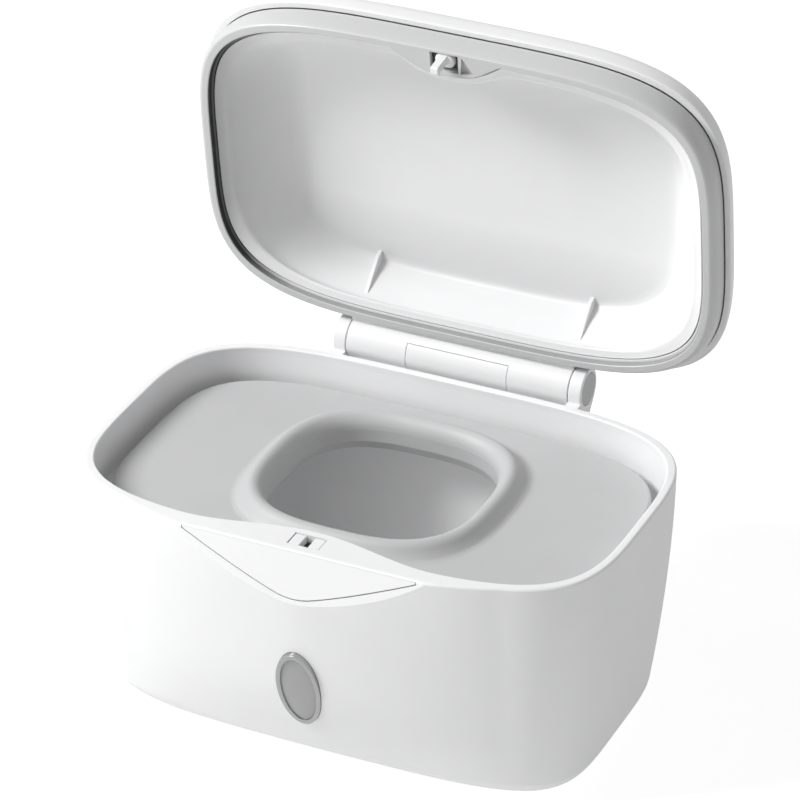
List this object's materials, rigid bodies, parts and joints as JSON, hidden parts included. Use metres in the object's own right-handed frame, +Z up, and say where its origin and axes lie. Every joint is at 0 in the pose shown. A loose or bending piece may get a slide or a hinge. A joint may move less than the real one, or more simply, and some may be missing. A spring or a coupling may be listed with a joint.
{
  "type": "wipes dispenser",
  "caption": "Wipes dispenser box with a hinged dome lid, a push button latch, an oval level window and a lift-out inner plate with a raised mouth.",
  "frame": {"origin": "middle of the flat pad that the box stands on", "axes": "+X to the right as seen from the front, +Y towards the hinge, +Z up"},
  "size_m": [0.2112, 0.1755, 0.2478],
  "materials": {
    "body_shell": "satin white",
    "base_pad": "matt",
    "window_bezel": "polished",
    "window_pane": "smooth translucent grey",
    "window_seal": "matt",
    "push_button": "satin white",
    "latch_guide": "satin white",
    "catch_slider": "fine matt",
    "latch_cover": "satin white",
    "hinge_pin": "ground",
    "plate_top": "fine matt grey",
    "plate_base": "fine matt grey",
    "lid_cover": "satin white",
    "lid_frame": "satin",
    "lid_liner": "satin",
    "lid_gasket": "matt",
    "latch_hook": "satin white",
    "hinge_panel": "satin white",
    "hinge_spring": "drawn wire",
    "hinge_damper": "matt",
    "latch_screw_left": "zinc plated",
    "catch_spring_left": "drawn wire",
    "button_spring_left": "drawn wire",
    "hinge_cap_left": "fine matt grey",
    "plate_weight_left": "ground",
    "hinge_bush_left": "smooth",
    "latch_screw_right": "zinc plated",
    "catch_spring_right": "drawn wire",
    "button_spring_right": "drawn wire",
    "hinge_cap_right": "fine matt grey",
    "plate_weight_right": "ground",
    "hinge_bush_right": "smooth"
  },
  "bodies": {
    "body": {"body_shell": "body_shell", "base_pad": "base_pad", "window_bezel": "window_bezel", "window_pane": "window_pane", "window_seal": "window_seal", "latch_guide": "latch_guide", "latch_cover": "latch_cover", "latch_screw_left": "latch_screw_left", "latch_screw_right": "latch_screw_right", "catch_spring_left": "catch_spring_left", "catch_spring_right": "catch_spring_right", "button_spring_left": "button_spring_left", "button_spring_right": "button_spring_right", "hinge_pin": "hinge_pin", "hinge_cap_left": "hinge_cap_left", "hinge_cap_right": "hinge_cap_right"},
    "lid": {"lid_cover": "lid_cover", "lid_frame": "lid_frame", "lid_liner": "lid_liner", "lid_gasket": "lid_gasket", "latch_hook": "latch_hook", "hinge_panel": "hinge_panel", "hinge_spring": "hinge_spring", "hinge_damper": "hinge_damper", "hinge_bush_left": "hinge_bush_left", "hinge_bush_right": "hinge_bush_right"},
    "button": {"push_button": "push_button"},
    "catch": {"catch_slider": "catch_slider"},
    "plate": {"plate_top": "plate_top", "plate_base": "plate_base", "plate_weight_left": "plate_weight_left", "plate_weight_right": "plate_weight_right"}
  },
  "joints": [
    {"name": "lid_hinge", "type": "hinge", "parent": "body", "child": "lid", "pos_m": [0, 0.07537, 0.10447], "axis": [1, 0, 0], "range_deg": [0, 82.6], "stiffness_Nm_per_rad": 0.12, "springref_deg": -20.05},
    {"name": "button_press", "type": "slide", "parent": "body", "child": "button", "axis": [0, 0.9627, -0.2706], "range_m": [0, 0.0015], "stiffness_N_per_m": 400, "springref_m": -0.001},
    {"name": "catch_slide", "type": "slide", "parent": "body", "child": "catch", "axis": [0, 1, 0], "range_m": [0, 0.0015]},
    {"name": "plate_lift", "type": "slide", "parent": "body", "child": "plate", "axis": [0, 0, 1], "range_m": [0, 0.01]}
  ],
  "couplings": [
    {"joint": "catch_slide", "follows": "button_press", "ratio": 0.9627}
  ]
}
